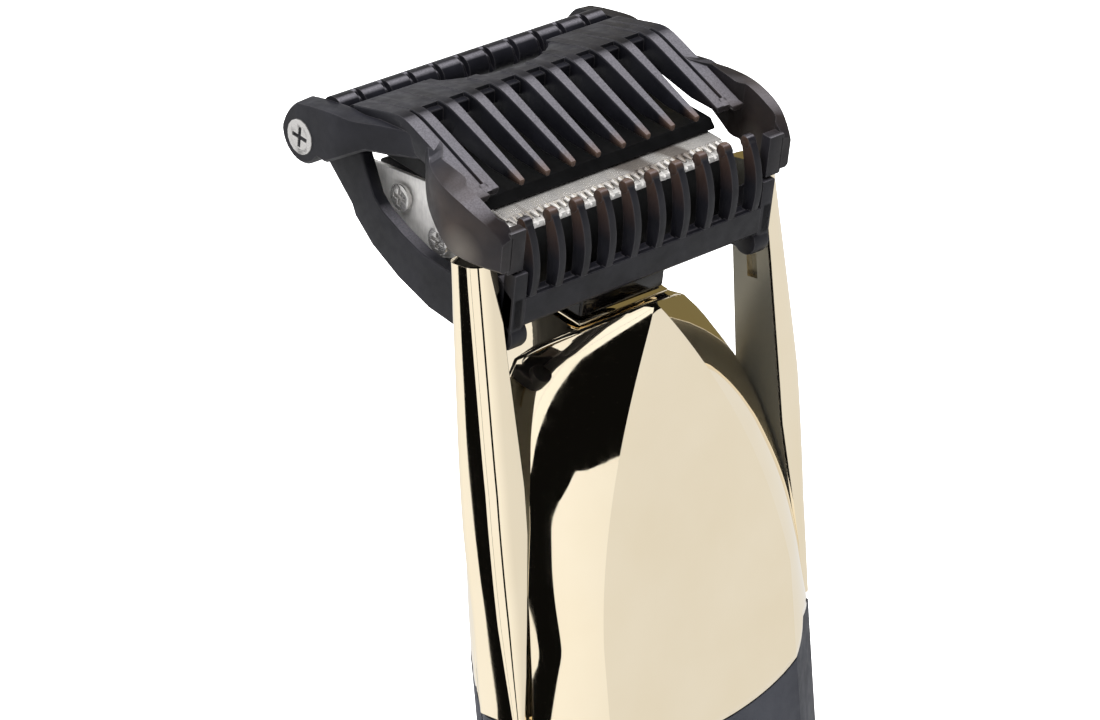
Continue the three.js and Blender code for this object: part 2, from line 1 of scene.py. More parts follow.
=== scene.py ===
"""Beard trimmer: polished body, two sliding arms, comb guard and wide blade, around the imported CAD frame."""

import json
import math

import bmesh
import bpy
from mathutils import Matrix, Vector

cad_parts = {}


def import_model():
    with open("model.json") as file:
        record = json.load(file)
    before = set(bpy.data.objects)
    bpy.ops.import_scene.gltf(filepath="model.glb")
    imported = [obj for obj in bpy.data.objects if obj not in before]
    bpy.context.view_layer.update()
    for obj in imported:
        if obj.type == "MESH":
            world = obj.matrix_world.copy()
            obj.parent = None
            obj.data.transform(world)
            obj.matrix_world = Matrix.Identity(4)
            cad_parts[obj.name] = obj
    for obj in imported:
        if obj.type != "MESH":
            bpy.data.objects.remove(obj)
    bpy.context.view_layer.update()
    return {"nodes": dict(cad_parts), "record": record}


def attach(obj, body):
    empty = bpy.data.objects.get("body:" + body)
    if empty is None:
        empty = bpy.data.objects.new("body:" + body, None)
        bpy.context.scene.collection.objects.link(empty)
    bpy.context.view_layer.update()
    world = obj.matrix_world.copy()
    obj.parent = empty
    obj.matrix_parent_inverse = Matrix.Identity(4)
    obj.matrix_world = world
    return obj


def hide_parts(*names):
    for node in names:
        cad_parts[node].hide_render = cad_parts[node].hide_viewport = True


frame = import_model()

# ---------- driving dimensions, in millimetres as in the CAD ----------
MM = 0.001
SIDES = (("left", -1), ("right", 1))
HEAD = {"y": -11.6, "z": 156.85, "tilt": math.radians(14)}

CAMERA_PLACE = (-347.5, -394.7, 336.2)
CAMERA_RIGHT = (0.7377, -0.6707, -0.0777)
CAMERA_UP = (0.2958, 0.2176, 0.9301)
SENSOR = 36.0
FOCAL = 130.9


# ---------- material building ----------
class Graph:
    """A material's node tree with short calls to add and join nodes."""

    def __init__(self, name):
        self.material = bpy.data.materials.new(name)
        self.material.use_nodes = True
        self.tree = self.material.node_tree
        self.shader = self.tree.nodes["Principled BSDF"]
        self.coords = self.add("ShaderNodeTexCoord").outputs["Object"]

    def add(self, kind, **sockets):
        node = self.tree.nodes.new(kind)
        for name, value in sockets.items():
            self.feed(node.inputs[name.replace("_", " ")], value)
        return node

    def feed(self, socket, value):
        if isinstance(value, bpy.types.NodeSocket):
            self.tree.links.new(value, socket)
        else:
            socket.default_value = value

    def set(self, **sockets):
        for name, value in sockets.items():
            self.feed(self.shader.inputs[name.replace("_", " ")], value)

    def split(self, vector):
        """The vector's X, Y and Z, each as a socket."""
        return self.add("ShaderNodeSeparateXYZ", Vector=vector).outputs

    def normal(self):
        return self.split(self.add("ShaderNodeNewGeometry").outputs["Normal"])

    def stretched(self, scale):
        """Object coordinates, scaled along each axis."""
        mapping = self.add("ShaderNodeMapping", Vector=self.coords)
        mapping.inputs["Scale"].default_value = scale
        return mapping.outputs["Vector"]

    def noise(self, scale, detail=3.0, vector=None):
        node = self.add("ShaderNodeTexNoise", Scale=scale, Detail=detail, Vector=vector or self.coords)
        return node.outputs["Fac"]

    def ramp(self, factor, low, high, start=0.35, end=0.65):
        node = self.add("ShaderNodeMapRange", Value=factor)
        node.inputs["From Min"].default_value = start
        node.inputs["From Max"].default_value = end
        node.inputs["To Min"].default_value = low
        node.inputs["To Max"].default_value = high
        return node.outputs["Result"]

    def blend(self, factor, a, b):
        node = self.tree.nodes.new("ShaderNodeMix")
        node.data_type = "RGBA"
        self.feed(node.inputs["Factor"], factor)
        self.feed(node.inputs["A"], a)
        self.feed(node.inputs["B"], b)
        return node.outputs["Result"]

    def math(self, operation, a, b=0.0, clamp=True):
        node = self.tree.nodes.new("ShaderNodeMath")
        node.operation = operation
        node.use_clamp = clamp
        self.feed(node.inputs[0], a)
        self.feed(node.inputs[1], b)
        return node.outputs["Value"]

    def unsigned(self, value):
        """The value without its sign."""
        return self.math("ABSOLUTE", value, clamp=False)

    def product(self, first, *others):
        """All the factors multiplied, kept between 0 and 1."""
        for other in others:
            first = self.math("MULTIPLY", first, other)
        return first

    def bump(self, height, strength, depth_mm):
        node = self.add("ShaderNodeBump", Height=height, Strength=strength)
        node.inputs["Distance"].default_value = depth_mm * MM
        self.set(Normal=node.outputs["Normal"])

    def edges(self, radius_mm, gain=6.0):
        """About 1 on convex and concave edges, 0 on flat stretches."""
        bevel = self.add("ShaderNodeBevel")
        bevel.samples = 4
        bevel.inputs["Radius"].default_value = radius_mm * MM
        dot = self.tree.nodes.new("ShaderNodeVectorMath")
        dot.operation = "DOT_PRODUCT"
        self.feed(dot.inputs[0], bevel.outputs["Normal"])
        self.feed(dot.inputs[1], self.add("ShaderNodeNewGeometry").outputs["Normal"])
        turned = self.math("SUBTRACT", 1.0, dot.outputs["Value"])
        return self.product(turned, gain)


def rgb(red, green, blue):
    """An sRGB colour, 0 to 255, as linear RGBA."""
    linear = [((c / 255 + 0.055) / 1.055) ** 2.4 if c > 10 else c / 255 / 12.92 for c in (red, green, blue)]
    return (*linear, 1.0)


def polished_gold():
    """Mirror gold, with painted shade: a greyer, duller base colour on the faces that look towards the middle
    of the trimmer.
    """
    g = Graph("polished_gold")
    cloud = g.noise(60.0)
    scuff = g.noise(900.0, 2.0, g.stretched((1, 1, 0.06)))
    side = g.math("SIGN", g.split(g.coords)["X"], clamp=False)
    outward = g.math("MULTIPLY", g.normal()["X"], side, clamp=False)
    # Painted shade: faces turned towards the middle get a grey base colour, less metal and more roughness.
    inward_painted_shade = g.ramp(outward, 1.0, 0.0, -0.95, -0.75)
    bright = g.blend(g.ramp(cloud, 0, 1), rgb(247, 234, 208), rgb(244, 230, 202))
    g.set(Base_Color=g.blend(inward_painted_shade, bright, rgb(132, 129, 118)))
    g.set(Metallic=g.ramp(inward_painted_shade, 1.0, 0.7, 0.0, 1.0))
    worn = g.math("ADD", g.ramp(scuff, 0.02, 0.05), g.product(g.edges(0.25), 0.12))
    g.set(Roughness=g.math("ADD", worn, g.product(inward_painted_shade, 0.32)))
    g.bump(scuff, 0.05, 0.008)
    return g.material


def head_place(g):
    """Object coordinates turned into the tilted frame of the cutting head, in millimetres."""
    turn = g.add("ShaderNodeMapping", Vector=g.coords)
    turn.vector_type = "TEXTURE"
    turn.inputs["Location"].default_value = (0, HEAD["y"] * MM, HEAD["z"] * MM)
    turn.inputs["Rotation"].default_value = (HEAD["tilt"], 0, 0)
    turn.inputs["Scale"].default_value = (MM, MM, MM)
    return g.split(turn.outputs["Vector"])


def blob(g, place, centre, reach):
    """1 at a point and at its mirror image, falling to 0 at the reach."""
    apart = g.tree.nodes.new("ShaderNodeCombineXYZ")
    g.feed(apart.inputs["X"], g.unsigned(place["X"]))
    g.feed(apart.inputs["Y"], place["Y"])
    g.feed(apart.inputs["Z"], place["Z"])
    gap = g.tree.nodes.new("ShaderNodeVectorMath")
    gap.operation = "DISTANCE"
    g.feed(gap.inputs[0], apart.outputs["Vector"])
    gap.inputs[1].default_value = centre
    return g.ramp(gap.outputs["Value"], 1, 0, 0, reach)


def comb_plastic():
    """Smoke-tinted plastic: it turns brown and paler where it is thin, and has a painted highlight, grey and
    speckled like grain, on the slopes that face forward and up.
    """
    g = Graph("comb_plastic")
    place = head_place(g)
    normal = g.normal()
    from_middle = g.unsigned(place["X"])
    colour = g.blend(g.ramp(g.noise(180.0), 0, 1), rgb(17, 17, 21), rgb(24, 24, 29))

    # Painted highlight: faces that look forward and up are painted grey, where the overhead light would catch
    # them; the speckle is grain.
    slope = g.product(g.ramp(normal["Y"], 1, 0, -0.5, -0.3), g.ramp(normal["Z"], 0, 1, 0.65, 0.8))
    speckle = g.ramp(g.noise(4200.0, 2.0), 0.6, 1.0)
    colour = g.blend(g.product(slope, speckle, 0.8), colour, rgb(98, 96, 102))

    tooth_tip = g.product(g.ramp(place["Y"], 1, 0, 7.6, 10.8), g.ramp(place["Z"], 0, 1, 5.0, 6.0),
                          g.ramp(from_middle, 1, 0, 19.5, 20.5))
    colour = g.blend(g.product(tooth_tip, 0.6), colour, rgb(96, 74, 60))

    fin_side = g.product(g.ramp(g.unsigned(normal["X"]), 0, 1, 0.7, 0.9), g.ramp(place["Y"], 1, 0, 2.8, 3.4),
                         g.ramp(place["Z"], 0, 1, -1.0, 6.5), g.ramp(from_middle, 1, 0, 22.0, 22.6))
    colour = g.blend(g.product(fin_side, 0.85), colour, rgb(60, 44, 35))

    cheek = g.product(blob(g, place, (28.5, 8.0, 3.0), 11.0), g.ramp(g.noise(160.0), 0.45, 1.0, 0.35, 0.6))
    colour = g.blend(g.product(cheek, 0.5), colour, rgb(74, 62, 54))
    colour = g.blend(g.product(blob(g, place, (28.5, 6.2, 1.2), 4.0), 0.5), colour, rgb(112, 106, 98))

    # Edges, convex and concave, are painted lighter: partly rubbed wear, partly painted edge highlight.
    g.set(Base_Color=g.blend(g.product(g.edges(0.22), 0.35), colour, rgb(84, 82, 84)))
    g.set(Roughness=g.ramp(g.noise(700.0), 0.4, 0.52), Specular_IOR_Level=0.22)
    g.bump(g.noise(5200.0, 2.0), 0.35, 0.03)
    return g.material


def grip_plastic():
    g = Graph("grip_plastic")
    cloud = g.noise(90.0)
    g.set(Base_Color=g.blend(g.ramp(cloud, 0, 1), rgb(40, 42, 50), rgb(47, 49, 57)))
    g.set(Roughness=g.ramp(g.noise(500.0), 0.5, 0.64))
    pebble = g.add("ShaderNodeTexVoronoi", Scale=1500.0, Vector=g.coords)
    g.bump(pebble.outputs["Distance"], 0.18, 0.05)
    return g.material


def black_gloss():
    g = Graph("black_gloss")
    g.set(Base_Color=g.blend(g.ramp(g.noise(120.0), 0, 1), rgb(9, 8, 8), rgb(18, 16, 15)))
    g.set(Roughness=g.ramp(g.noise(400.0), 0.08, 0.16), Specular_IOR_Level=0.3)
    g.bump(g.noise(300.0), 0.05, 0.02)
    return g.material


def black_plastic():
    g = Graph("black_plastic")
    g.set(Base_Color=g.blend(g.ramp(g.noise(150.0), 0, 1), rgb(9, 9, 10), rgb(15, 15, 16)))
    g.set(Roughness=g.ramp(g.noise(600.0), 0.45, 0.6), Specular_IOR_Level=0.25)
    g.bump(g.noise(3500.0, 2.0), 0.2, 0.03)
    return g.material


def bright_steel():
    """Polished steel, with a painted reflection on the blade: near-white and brownish blotches; even on the
    screws beside it.
    """
    g = Graph("bright_steel")
    on_blade = g.ramp(g.unsigned(head_place(g)["X"]), 1, 0, 21.2, 21.5)
    # Painted reflection: the blade's near-white and brownish blotches stand for what its polished face
    # mirrors.
    painted_reflection_mottle = g.ramp(g.noise(260.0, 1.0, g.stretched((1, 0.35, 0.35))), 0, 1, 0.44, 0.54)
    blade = g.blend(painted_reflection_mottle, rgb(166, 158, 152), rgb(244, 240, 236))
    brushed = g.noise(1400.0, 3.0, g.stretched((0.3, 2, 2)))
    g.set(Base_Color=g.blend(on_blade, rgb(188, 186, 184), blade), Metallic=0.8)
    g.set(Roughness=g.ramp(brushed, 0.16, 0.26))
    g.bump(brushed, 0.05, 0.005)
    return g.material


def satin_steel():
    g = Graph("satin_steel")
    brushed = g.noise(900.0, 4.0, g.stretched((0.3, 3, 1)))
    g.set(Metallic=0.5, Base_Color=g.blend(g.ramp(brushed, 0, 1), rgb(212, 210, 208), rgb(226, 224, 221)))
    g.set(Roughness=g.ramp(brushed, 0.4, 0.52))
    g.bump(brushed, 0.08, 0.01)
    return g.material


def contact_brass():
    g = Graph("contact_brass")
    tarnish = g.noise(400.0)
    g.set(Metallic=1.0, Base_Color=g.blend(g.ramp(tarnish, 0, 1), rgb(201, 162, 87), rgb(182, 140, 74)))
    g.set(Roughness=g.ramp(tarnish, 0.22, 0.4))
    g.bump(tarnish, 0.1, 0.02)
    return g.material


def board_green():
    g = Graph("board_green")
    g.set(Base_Color=g.blend(g.ramp(g.noise(900.0), 0, 1), rgb(26, 84, 48), rgb(34, 104, 60)))
    g.set(Roughness=g.ramp(g.noise(500.0), 0.35, 0.5))
    g.bump(g.noise(2500.0), 0.2, 0.03)
    return g.material


def cell_wrap():
    g = Graph("cell_wrap")
    g.set(Base_Color=g.blend(g.ramp(g.noise(200.0), 0, 1), rgb(38, 72, 138), rgb(48, 84, 150)))
    g.set(Roughness=g.ramp(g.noise(300.0), 0.25, 0.4))
    g.bump(g.noise(500.0, 2.0, g.stretched((1, 1, 0.2))), 0.15, 0.05)
    return g.material


def light_lens():
    g = Graph("light_lens")
    g.set(Base_Color=g.blend(g.ramp(g.noise(500.0), 0, 1), rgb(214, 224, 238), rgb(228, 234, 244)))
    g.set(Roughness=g.ramp(g.noise(800.0), 0.12, 0.25), Subsurface_Weight=0.2, Subsurface_Scale=0.001)
    g.bump(g.noise(900.0), 0.05, 0.02)
    return g.material


def floor_material():
    g = Graph("floor_paper")
    g.set(Base_Color=g.blend(g.ramp(g.noise(8.0), 0, 1), rgb(250, 250, 250), rgb(253, 253, 253)))
    g.set(Roughness=g.ramp(g.noise(30.0), 0.75, 0.85))
    g.bump(g.noise(900.0), 0.05, 0.02)
    return g.material


MATERIALS = {make.__name__: make() for make in (
    polished_gold, comb_plastic, grip_plastic, black_gloss, black_plastic, bright_steel, satin_steel,
    contact_brass, board_green, cell_wrap, light_lens)}


# ---------- mesh building, in millimetres ----------
def smooth(t, stops):
    """The value at t on a smooth curve through the stops (t, value)."""
    if t <= stops[0][0]:
        return stops[0][1]
    if t >= stops[-1][0]:
        return stops[-1][1]
    i = next(k for k in range(1, len(stops)) if stops[k][0] >= t)
    (t0, v0), (t1, v1) = stops[i - 1], stops[i]
    before = stops[max(i - 2, 0)]
    after = stops[min(i + 1, len(stops) - 1)]
    m0 = (v1 - before[1]) / max(t1 - before[0], 1e-6) * (t1 - t0)
    m1 = (after[1] - v0) / max(after[0] - t0, 1e-6) * (t1 - t0)
    s = (t - t0) / (t1 - t0)
    return ((2 * s**3 - 3 * s**2 + 1) * v0 + (s**3 - 2 * s**2 + s) * m0
            + (3 * s**2 - 2 * s**3) * v1 + (s**3 - s**2) * m1)


def linear(t, stops):
    """The value at t on straight stretches between the stops (t, value)."""
    if t <= stops[0][0]:
        return stops[0][1]
    for (t0, v0), (t1, v1) in zip(stops, stops[1:]):
        if t <= t1:
            return v0 + (v1 - v0) * (t - t0) / (t1 - t0)
    return stops[-1][1]


def spread(start, end, count):
    """count + 1 even steps from start to end."""
    return [start + (end - start) * i / count for i in range(count + 1)]


def curve_through(points, per_stretch=4):
    """A smooth closed outline through a few points."""
    out = []
    n = len(points)
    for i in range(n):
        p0, p1, p2, p3 = (Vector(points[(i + k - 1) % n]) for k in range(4))
        for j in range(per_stretch):
            s = j / per_stretch
            out.append(0.5 * (2 * p1 + (p2 - p0) * s + (2 * p0 - 5 * p1 + 4 * p2 - p3) * s**2
                              + (3 * p1 - p0 - 3 * p2 + p3) * s**3))
    return [tuple(p) for p in out]


def bevel_edges(bm, width, segments=2, angle=25):
    edges = [e for e in bm.edges if len(e.link_faces) == 2 and e.calc_face_angle() > math.radians(angle)]
    if width > 0 and edges:
        bmesh.ops.bevel(bm, geom=edges, offset=width, segments=segments, profile=0.6, affect="EDGES",
                        clamp_overlap=True)


def loft(rings, bevel=0.0, segments=2, angle=25):
    """A closed body through rings of 3-D points, with flat ends."""
    bm = bmesh.new()
    rows = [[bm.verts.new(p) for p in ring] for ring in rings]
    count = len(rings[0])
    for low, high in zip(rows, rows[1:]):
        for i in range(count):
            j = (i + 1) % count
            bm.faces.new((low[i], low[j], high[j], high[i]))
    bm.faces.new(rows[0])
    bm.faces.new(rows[-1])
    bmesh.ops.recalc_face_normals(bm, faces=bm.faces)
    bevel_edges(bm, bevel, segments, angle)
    return bm


AXES = {"x": lambda u, v, w: (w, u, v), "y": lambda u, v, w: (u, w, v), "z": lambda u, v, w: (u, v, w)}


def slab(axis, outline, start, end, bevel=0.25, segments=2, angle=25):
    """An outline carried along an axis: (y, z) along x, (x, z) along y or (x, y) along z."""
    put = AXES[axis]
    return loft([[put(u, v, w) for u, v in outline] for w in (start, end)], bevel, segments, angle)


def bar(axis, centre, radius, start, end, bevel=0.2, sides=32):
    ring = [(centre[0] + radius * math.cos(2 * math.pi * i / sides),
             centre[1] + radius * math.sin(2 * math.pi * i / sides)) for i in range(sides)]
    return slab(axis, ring, start, end, bevel)


def block(x, y, z, bevel=0.25, segments=2):
    """A box from ranges along the three axes."""
    return slab("z", [(x[0], y[0]), (x[1], y[0]), (x[1], y[1]), (x[0], y[1])], z[0], z[1], bevel, segments)


def sheet_grid(rows):
    """An open surface through rows of points of the same length."""
    bm = bmesh.new()
    grid = [[bm.verts.new(p) for p in row] for row in rows]
    for low, high in zip(grid, grid[1:]):
        for i in range(len(low) - 1):
            bm.faces.new((low[i], low[i + 1], high[i + 1], high[i]))
    return bm


def mirrored(bm):
    """A copy of the body on the other side of x = 0."""
    other = bm.copy()
    bmesh.ops.scale(other, vec=(-1, 1, 1), verts=other.verts)
    bmesh.ops.reverse_faces(other, faces=other.faces)
    return other


def both(make):
    """make() on the right and its mirror image on the left."""
    right = make()
    return [right, mirrored(right)]


def joined(bodies):
    """One body from several, which are used up."""
    whole = bmesh.new()
    scratch = bpy.data.meshes.new("scratch")
    for body in bodies:
        body.to_mesh(scratch)
        whole.from_mesh(scratch)
        body.free()
    bpy.data.meshes.remove(scratch)
    return whole


def write_mesh(mesh, bodies, place=None):
    """Puts bodies in millimetres into a mesh in metres."""
    whole = joined(bodies)
    whole.transform(Matrix.Scale(MM, 4) @ (place or Matrix()))
    whole.to_mesh(mesh)
    whole.free()


HEAD_FRAME = Matrix.Translation((0, HEAD["y"], HEAD["z"])) @ Matrix.Rotation(HEAD["tilt"], 4, "X")
SHARP_ANGLE = math.radians(34)


def piece(name, parts, slot_name, body, stands_for=(), place=None, sharp=SHARP_ANGLE):
    """One object from bodies in millimetres, with its material, its CAD body and the nodes it replaces."""
    mesh = bpy.data.meshes.new(name)
    write_mesh(mesh, parts, place)
    mesh.polygons.foreach_set("use_smooth", [True] * len(mesh.polygons))
    mesh.set_sharp_from_angle(angle=sharp)
    mesh.materials.append(MATERIALS[slot_name])
    obj = bpy.data.objects.new(name, mesh)
    bpy.context.scene.collection.objects.link(obj)
    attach(obj, body)
    if stands_for:
        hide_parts(*stands_for)
    return obj


def apply_modifiers(obj):
    """Turns the object's modifiers into mesh."""
    evaluated = obj.evaluated_get(bpy.context.evaluated_depsgraph_get())
    mesh = bpy.data.meshes.new_from_object(evaluated)
    obj.modifiers.clear()
    obj.data = mesh


def cut_out(obj, bodies):
    """Cuts bodies, given in millimetres, out of an object."""
    mesh = bpy.data.meshes.new("cutter")
    write_mesh(mesh, bodies)
    cutter = bpy.data.objects.new("cutter", mesh)
    bpy.context.scene.collection.objects.link(cutter)
    cut = obj.modifiers.new("cut", "BOOLEAN")
    cut.object = cutter
    cut.operation = "DIFFERENCE"
    apply_modifiers(obj)
    bpy.data.objects.remove(cutter)


# ---------- polished casing ----------
APEX = (0.0, -11.8, 144.7)
FRONT_HALF = 18.4
GRIP_EDGE = 89.5
TONGUE = {"half": 22.0, "drop": 8.2}
GAP = 0.3
ARM_INNER = [(90, 27.4), (100, 26.5), (118, 24.6), (125, 24.5), (143, 24.9), (157, 25.0)]
ARM_OUTER = [(90, 29.1), (100, 29.5), (112, 29.83), (125, 29.83), (140, 29.3), (157, 28.6)]
ARM_FRONT = [(90, -9.4), (105, -9.8), (125, -10.0), (157, -8.8)]
ARM_REAR = [(118, -0.8), (157, -2.0)]
ARM_TOP = 157.2
CORNER = (16.0, -0.5, 138.5)          # where the side crease meets the top crease
CREASE_FALL = 44.7                    # height below the apex where the front facet has its full width
CREASE_BOW = 0.72                     # how far its crease bows out from a straight line
CREASE_BLUNT, CREASE_DEPTH, CREASE_POWER = 0.1, 4.6, 0.68     # how the crease moves forward below the apex
SEAT_HALF, SEAT_FRONT, SEAT_REAR = 8.6, (-5.7, 141.4), (7.4, 145.1)
SIDE_X = [(89, 27.5), (100, 26.6), (110, 25.9), (119, 25.0), (128, 22.0), (134, 19.0), (138.5, 16.0)]
SIDE_Y = [(89, -10.2), (100, -9.7), (110, -8.6), (119, -6.3), (128, -4.0), (134, -2.0), (138.5, -0.5)]
WIDE_X = [(86, 28.1), (100, 27.8), (110, 27.2), (119, 26.0), (128, 23.2), (134, 19.9), (138.5, 16.0)]
REAR_Y = [(86, 14.0), (100, 14.0), (119, 13.6), (128, 12.9), (138.5, 11.4)]
BACK_EDGE = {"y": 8.0, "rise": 13}    # the rear casing's lower edge rises by this much up to this depth
OVAL_Y, PARTING_Y = -5.0, -0.2        # the oval back's widest line, and where the two casings meet
ROOF_FRONT, ROOF_DEPTH = -5.5, 12.9   # where the roof round the neck begins, and how far back it goes
ROOF_LIFT = 0.35                      # how far the roof swells between its edges
FRONT_CROWN, SIDE_CROWN = 0.7, 0.55
CROWN_CHORD = 11.5                    # width of the side facet where it has its full crown
# Share of the side crown that is left near the apex
CROWN_FADE = [(126, 1.0), (138.5, 0.45), (144.7, 0.35)]
SKIN = 0.9                            # thickness of the casing's wall
FRONT_SHARP, REAR_SHARP = math.radians(17), math.radians(26)  # edges that turn more than this stay hard
BRIDGE_SLOT = ((18, 29), (-7.25, -3.25), (92, 109))           # x, y and z ranges, as in the CAD
ARM_SLOT = ((24.0, 25.9), (-6.6, -4.6), (139.5, 146.5))


def front_crease(z):
    """x and y of the crease between the front and the side facet."""
    s = min(1.0, max(0.0, (APEX[2] - z) / CREASE_FALL))
    x = FRONT_HALF * s * (1 + CREASE_BOW - CREASE_BOW * s)
    y = APEX[1] - CREASE_BLUNT * min(1, s * 20) - CREASE_DEPTH * s**CREASE_POWER
    return x, y


def side_crease(z):
    if z > CORNER[2]:
        q = (z - CORNER[2]) / (APEX[2] - CORNER[2])
        return CORNER[0] * (1 - q), CORNER[1] + (APEX[1] - CORNER[1]) * q
    return smooth(z, SIDE_X), smooth(z, SIDE_Y)


def lip(z):
    """Outer end of the side facet, where it meets its crease or the arm's channel."""
    (x0, y0), (x1, y1) = front_crease(z), side_crease(z)
    limit = linear(z, ARM_INNER) - GAP
    if x1 <= limit:
        return x1, y1
    share = (limit - x0) / (x1 - x0)
    return limit, y0 + (y1 - y0) * share


def facet_point(v, z):
    """A point of the side facet, v from 0 at the front crease to 1 at its lip."""
    (x0, y0), (x1, y1) = front_crease(z), lip(z)
    chord = math.hypot(x1 - x0, y1 - y0)
    bulge = SIDE_CROWN * (chord / CROWN_CHORD) ** 1.5 * linear(z, CROWN_FADE) * 4 * v * (1 - v)
    normal = Vector((y1 - y0, -(x1 - x0)))
    normal = -normal.normalized() if normal.y > 0 else normal.normalized()
    return x0 + (x1 - x0) * v + normal.x * bulge, y0 + (y1 - y0) * v + normal.y * bulge


def casing_bottom(x):
    """Lower edge of the front casing, with its round tongue into the grip."""
    reach = max(0.0, 1 - (x / TONGUE["half"]) ** 2)
    return GRIP_EDGE - TONGUE["drop"] * math.sqrt(reach)


def front_column(kind, v, z):
    """x and y at the share v across one of the three faces of the right half."""
    if kind == "front":
        x, y = front_crease(z)
        return x * v, y - FRONT_CROWN * (1 - v * v) * (x / FRONT_HALF)
    if kind == "facet":
        return facet_point(v, z)
    x0, y0 = lip(z)
    x1 = min(smooth(z, WIDE_X), linear(z, ARM_INNER) - GAP)
    return x0 + (max(x1, x0) - x0) * v, y0 + (CORNER[1] - y0) * v


def front_cover():
    """The front, facets and side walls, a cap in front of the neck, and the slots for the bridge."""
    columns = [("front", v) for v in spread(0, 1, 12)]
    columns += [("facet", v) for v in spread(0, 1, 12)[1:]]
    columns += [("wall", v) for v in spread(0, 1, 5)[1:]]
    turn_share = (CORNER[2] - GRIP_EDGE) / (APEX[2] - GRIP_EDGE)
    rows = spread(0, turn_share, 48) + spread(turn_share, 1, 10)[1:]
    lines = []
    for share in rows:
        line = []
        for kind, v in columns:
            base = casing_bottom(front_column(kind, v, WIDE_X[0][0])[0])
            z = base + (APEX[2] - base) * share
            if kind == "wall":
                z = min(z, CORNER[2])
            x, y = front_column(kind, v, z)
            line.append((x, y, z))
        lines.append(line)
    right = sheet_grid(lines)
    cap = sheet_grid([[APEX, (SEAT_HALF, SEAT_FRONT[0], SEAT_FRONT[1])],
                      [APEX, (0, SEAT_FRONT[0], SEAT_FRONT[1])]])
    skin = joined([right, cap, mirrored(right), mirrored(cap)])
    bmesh.ops.remove_doubles(skin, verts=skin.verts, dist=0.02)
    bmesh.ops.dissolve_degenerate(skin, edges=skin.edges, dist=0.01)
    bmesh.ops.recalc_face_normals(skin, faces=skin.faces)
    obj = piece("front_casing", [skin], "polished_gold", "handle", ["front_cover"], sharp=FRONT_SHARP)
    thicken(obj)
    cut_out(obj, both(lambda: block(*BRIDGE_SLOT, 0)))


def thicken(obj):
    wall = obj.modifiers.new("wall", "SOLIDIFY")
    wall.thickness = SKIN * MM
    wall.offset = -1
    wall.use_even_offset = False


def rear_edge(y):
    """Lower edge of the rear casing: it rises towards the back."""
    return linear(y, [(PARTING_Y, GRIP_EDGE), (BACK_EDGE["y"], GRIP_EDGE + BACK_EDGE["rise"])])


def oval_back(angle, wide, rear):
    """A point of the back's outline, for an angle from 0 at its right end to pi at its left end."""
    deep = rear - OVAL_Y
    first = math.asin((PARTING_Y - OVAL_Y) / deep)
    turn = first + (math.pi - 2 * first) * angle / math.pi
    return wide * math.cos(turn) / math.cos(first), OVAL_Y + deep * math.sin(turn)


def roof_edge(angle):
    """A point of the opening round the neck, for the same angles as oval_back."""
    x = max(-SEAT_HALF, min(SEAT_HALF, 1.6 * SEAT_HALF * math.cos(angle)))
    y = ROOF_FRONT + ROOF_DEPTH * min(1.0, 1.5 * math.sin(angle))
    climb = (y - ROOF_FRONT) / ROOF_DEPTH * (SEAT_REAR[1] - SEAT_FRONT[1])
    return x, y, SEAT_FRONT[1] + 0.05 + climb


def rear_cover():
    """An oval back with a roof that closes towards the neck."""
    angles = spread(0, math.pi, 48)
    lines = []
    for share in spread(0, 1, 30):
        line = []
        for angle in angles:
            low = rear_edge(oval_back(angle, 1.0, REAR_Y[0][1])[1])
            z = low + (CORNER[2] - low) * share
            x, y = oval_back(angle, smooth(z, WIDE_X), smooth(z, REAR_Y))
            line.append((x, y, z))
        lines.append(line)
    top = lines[-1]
    for share in spread(0, 1, 8)[1:]:
        line = []
        for angle, (x0, y0, z0) in zip(angles, top):
            x1, y1, z1 = roof_edge(angle)
            lift = ROOF_LIFT * math.sin(math.pi * share)
            line.append((x0 + (x1 - x0) * share, y0 + (y1 - y0) * share, z0 + (z1 - z0) * share + lift))
        lines.append(line)
    skin = sheet_grid(lines)
    bmesh.ops.contextual_create(skin, geom=list(skin.verts)[-len(angles):])
    bmesh.ops.remove_doubles(skin, verts=skin.verts, dist=0.02)
    bmesh.ops.recalc_face_normals(skin, faces=skin.faces)
    thicken(piece("rear_casing", [skin], "polished_gold", "handle", ["rear_cover"], sharp=REAR_SHARP))


# ---------- comb arms ----------
ARM_SMALL = 0.25                      # chamfer on the arm's inner corners
ARM_ROUND = {"front": (2.3, 0.62), "rear": (2.2, 0.6)}        # largest radius, and share of the thickness


def corner_arc(x, y, z, radius, start):
    """Nine points of a quarter circle about (x, y), from an angle in degrees."""
    turns = [math.radians(start + 90 * i / 8) for i in range(9)]
    return [(x + radius * math.cos(turn), y + radius * math.sin(turn), z) for turn in turns]


def arm_ring(z):
    """The arm's section: flat inside, rounded outside."""
    x0, x1 = linear(z, ARM_INNER), smooth(z, ARM_OUTER)
    y0, y1 = linear(z, ARM_FRONT), linear(z, ARM_REAR)
    front, rear = (min(most, (x1 - x0) * share) for most, share in ARM_ROUND.values())
    return ([(x0 + ARM_SMALL, y0, z)] + corner_arc(x1 - front, y0 + front, z, front, -90)
            + corner_arc(x1 - rear, y1 - rear, z, rear, 0)
            + [(x0 + ARM_SMALL, y1, z), (x0, y1 - ARM_SMALL, z), (x0, y0 + ARM_SMALL, z)])


def comb_arm(side, sign):
    body = loft([arm_ring(z) for z in spread(GRIP_EDGE + GAP, ARM_TOP, 60)])
    slot = block(*ARM_SLOT, 0)
    if sign < 0:
        body, slot = mirrored(body), mirrored(slot)
    obj = piece(f"polished_arm_{side}", [body], "polished_gold", "carriage", [f"comb_arm_{side}"])
    cut_out(obj, [slot])


